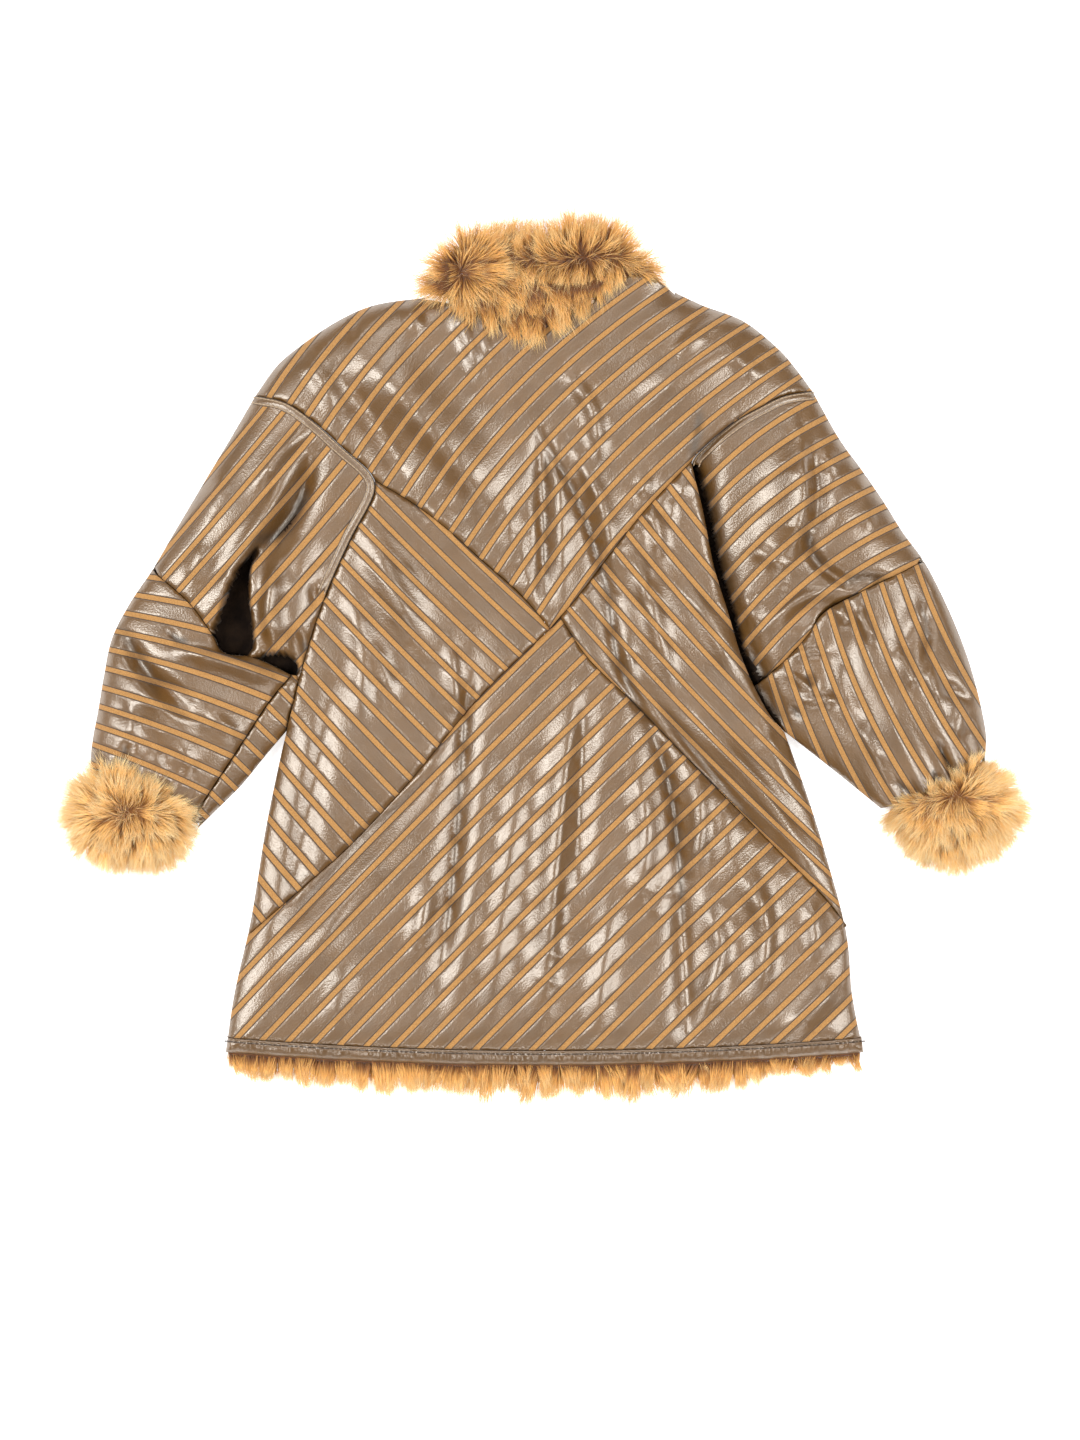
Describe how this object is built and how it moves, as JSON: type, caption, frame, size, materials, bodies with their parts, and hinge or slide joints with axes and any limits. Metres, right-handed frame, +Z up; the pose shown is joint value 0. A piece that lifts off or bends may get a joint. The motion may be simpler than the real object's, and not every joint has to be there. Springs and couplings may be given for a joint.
{
  "type": "sheepskin coat",
  "caption": "Long A-line sheepskin coat laid flat with its back up: pieced diagonal leather strips outside, long fur at collar, cuffs and hem.",
  "frame": {"origin": "on the surface the coat lies on, under the middle of its bounding box", "axes": "+Z up through the coat from front to back, +Y from hem to collar, +X towards the wearer's right sleeve"},
  "size_m": [1.0519, 0.9487, 0.082],
  "materials": {
    "leather": "satin metallic nappa strips with suede strips between them",
    "plain_leather": "satin metallic nappa",
    "fur": "long soft sheep hair"
  },
  "bodies": {
    "root": {"back_yoke": "leather", "back_side_left": "leather", "back_side_right": "leather", "back_skirt": "leather", "hem_band_back": "plain_leather", "front_left": "leather", "front_right": "leather", "hem_band_front_left": "plain_leather", "hem_band_front_right": "plain_leather", "sleeve_left_upper": "leather", "sleeve_left_lower": "leather", "sleeve_left_under": "leather", "sleeve_right_upper": "leather", "sleeve_right_lower": "leather", "sleeve_right_under": "leather", "armhole_band_left": "plain_leather", "armhole_band_right": "plain_leather", "collar": "fur", "cuff_left": "fur", "cuff_right": "fur", "hem_fur_back": "fur", "hem_fur_front": "fur"}
  },
  "joints": []
}
